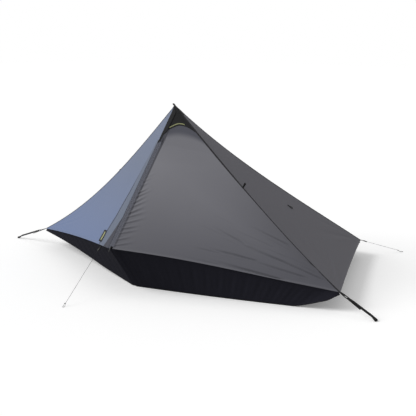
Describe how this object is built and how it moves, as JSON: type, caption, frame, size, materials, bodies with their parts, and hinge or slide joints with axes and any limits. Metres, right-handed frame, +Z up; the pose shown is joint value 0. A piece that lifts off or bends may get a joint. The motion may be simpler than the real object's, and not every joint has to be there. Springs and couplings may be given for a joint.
{
  "type": "pyramid tarp shelter",
  "caption": "Single-pole pyramid tarp shelter with a zipped front door, mesh netting below the hem, webbing straps and guy cords.",
  "frame": {"origin": "On the ground under the pole, in the middle of the sole of the rubber foot.", "axes": "+X is the right side seen from the front, -Y is the front with the zip, and +Z is up."},
  "size_m": [3.5433, 2.7913, 1.2634],
  "materials": {
    "slate_cloth": "slate-blue coated cloth with a soft sheen",
    "grey_cloth": "grey coated cloth with a soft sheen",
    "black_cloth": "black coated cloth",
    "zip_tape": "dark woven tape",
    "zip_coil": "dark nylon coil",
    "slider_metal": "black painted die-cast metal",
    "black_plastic": "black moulded plastic",
    "netting": "fine black mesh",
    "binding": "black ribbed tape",
    "webbing": "black woven webbing",
    "cord": "dark braided cord",
    "tube": "anodised drawn tube",
    "steel": "bright steel pin",
    "rubber": "black moulded rubber"
  },
  "bodies": {
    "canopy": {"front_left_panel": "slate_cloth", "front_yoke": "grey_cloth", "right_panel": "grey_cloth", "left_panel": "grey_cloth", "rear_panel": "grey_cloth", "ridge_seam_right": "grey_cloth", "ridge_seam_left": "grey_cloth", "ridge_seam_rear_right": "grey_cloth", "ridge_seam_rear_left": "grey_cloth", "apex_cap": "black_cloth", "apex_patch": "black_cloth", "front_tape": "black_cloth", "apex_loop": "webbing", "pole_pocket": "black_cloth", "zip_tape_left": "zip_tape", "zip_coil_left": "zip_coil", "zip_flap": "slate_cloth", "hem_tag": "black_cloth", "net_corner": "netting", "net_front_left": "netting", "net_right": "netting", "net_left": "netting", "net_rear": "netting", "net_binding": "binding", "corner_tab_right": "webbing", "corner_tab_left": "webbing", "buckle_right": "black_plastic", "buckle_left": "black_plastic", "strap_right": "webbing", "strap_left": "webbing", "rear_tab_right": "webbing", "rear_tab_left": "webbing", "front_tab": "webbing", "lock_rear_right": "black_plastic", "lock_rear_left": "black_plastic", "lock_front": "black_plastic", "rear_cord_right": "cord", "front_cord": "cord", "ridge_tie_out_right": "webbing", "ridge_tie_out_left": "webbing", "panel_tie_out_right": "webbing", "panel_tie_out_left": "webbing", "panel_tie_out_rear": "webbing", "pole_top_plug": "black_plastic", "pole_upper": "tube", "clamp_collar": "black_plastic", "clamp_pin": "steel"},
    "door": {"door_leaf": "grey_cloth", "zip_tape_right": "zip_tape", "zip_coil_right": "zip_coil", "net_door": "netting", "net_binding_door": "binding"},
    "zip_slider": {"zip_slider": "slider_metal"},
    "zip_pull": {"zip_pull": "black_plastic"},
    "lower_pole": {"pole_lower": "tube", "rubber_foot": "rubber"},
    "clamp_lever": {"clamp_lever": "black_plastic"}
  },
  "joints": [
    {"name": "door_swing", "type": "hinge", "parent": "canopy", "child": "door", "pos_m": [0, -0.17198, 1.0165], "axis": [-0.84, -0.0603, 0.5392], "range_deg": [0, 110]},
    {"name": "zip_travel", "type": "slide", "parent": "canopy", "child": "zip_slider", "axis": [0, 0.5931, 0.8052], "range_m": [0, 0.8]},
    {"name": "pull_swing", "type": "hinge", "parent": "zip_slider", "child": "zip_pull", "pos_m": [0.01467, -0.67704, 0.32842], "axis": [-0.9158, -0.3234, 0.2382], "range_deg": [0, 150]},
    {"name": "pole_length", "type": "slide", "parent": "canopy", "child": "lower_pole", "axis": [0, 0, 1], "range_m": [0, 0.45]},
    {"name": "clamp_lever_swing", "type": "hinge", "parent": "canopy", "child": "clamp_lever", "pos_m": [0, -0.0162, 0.56], "axis": [0, 0, -1], "range_deg": [0, 110]}
  ],
  "couplings": [
    {"joint": "zip_travel", "follows": "door_swing", "m_per_rad": 0.41628}
  ]
}
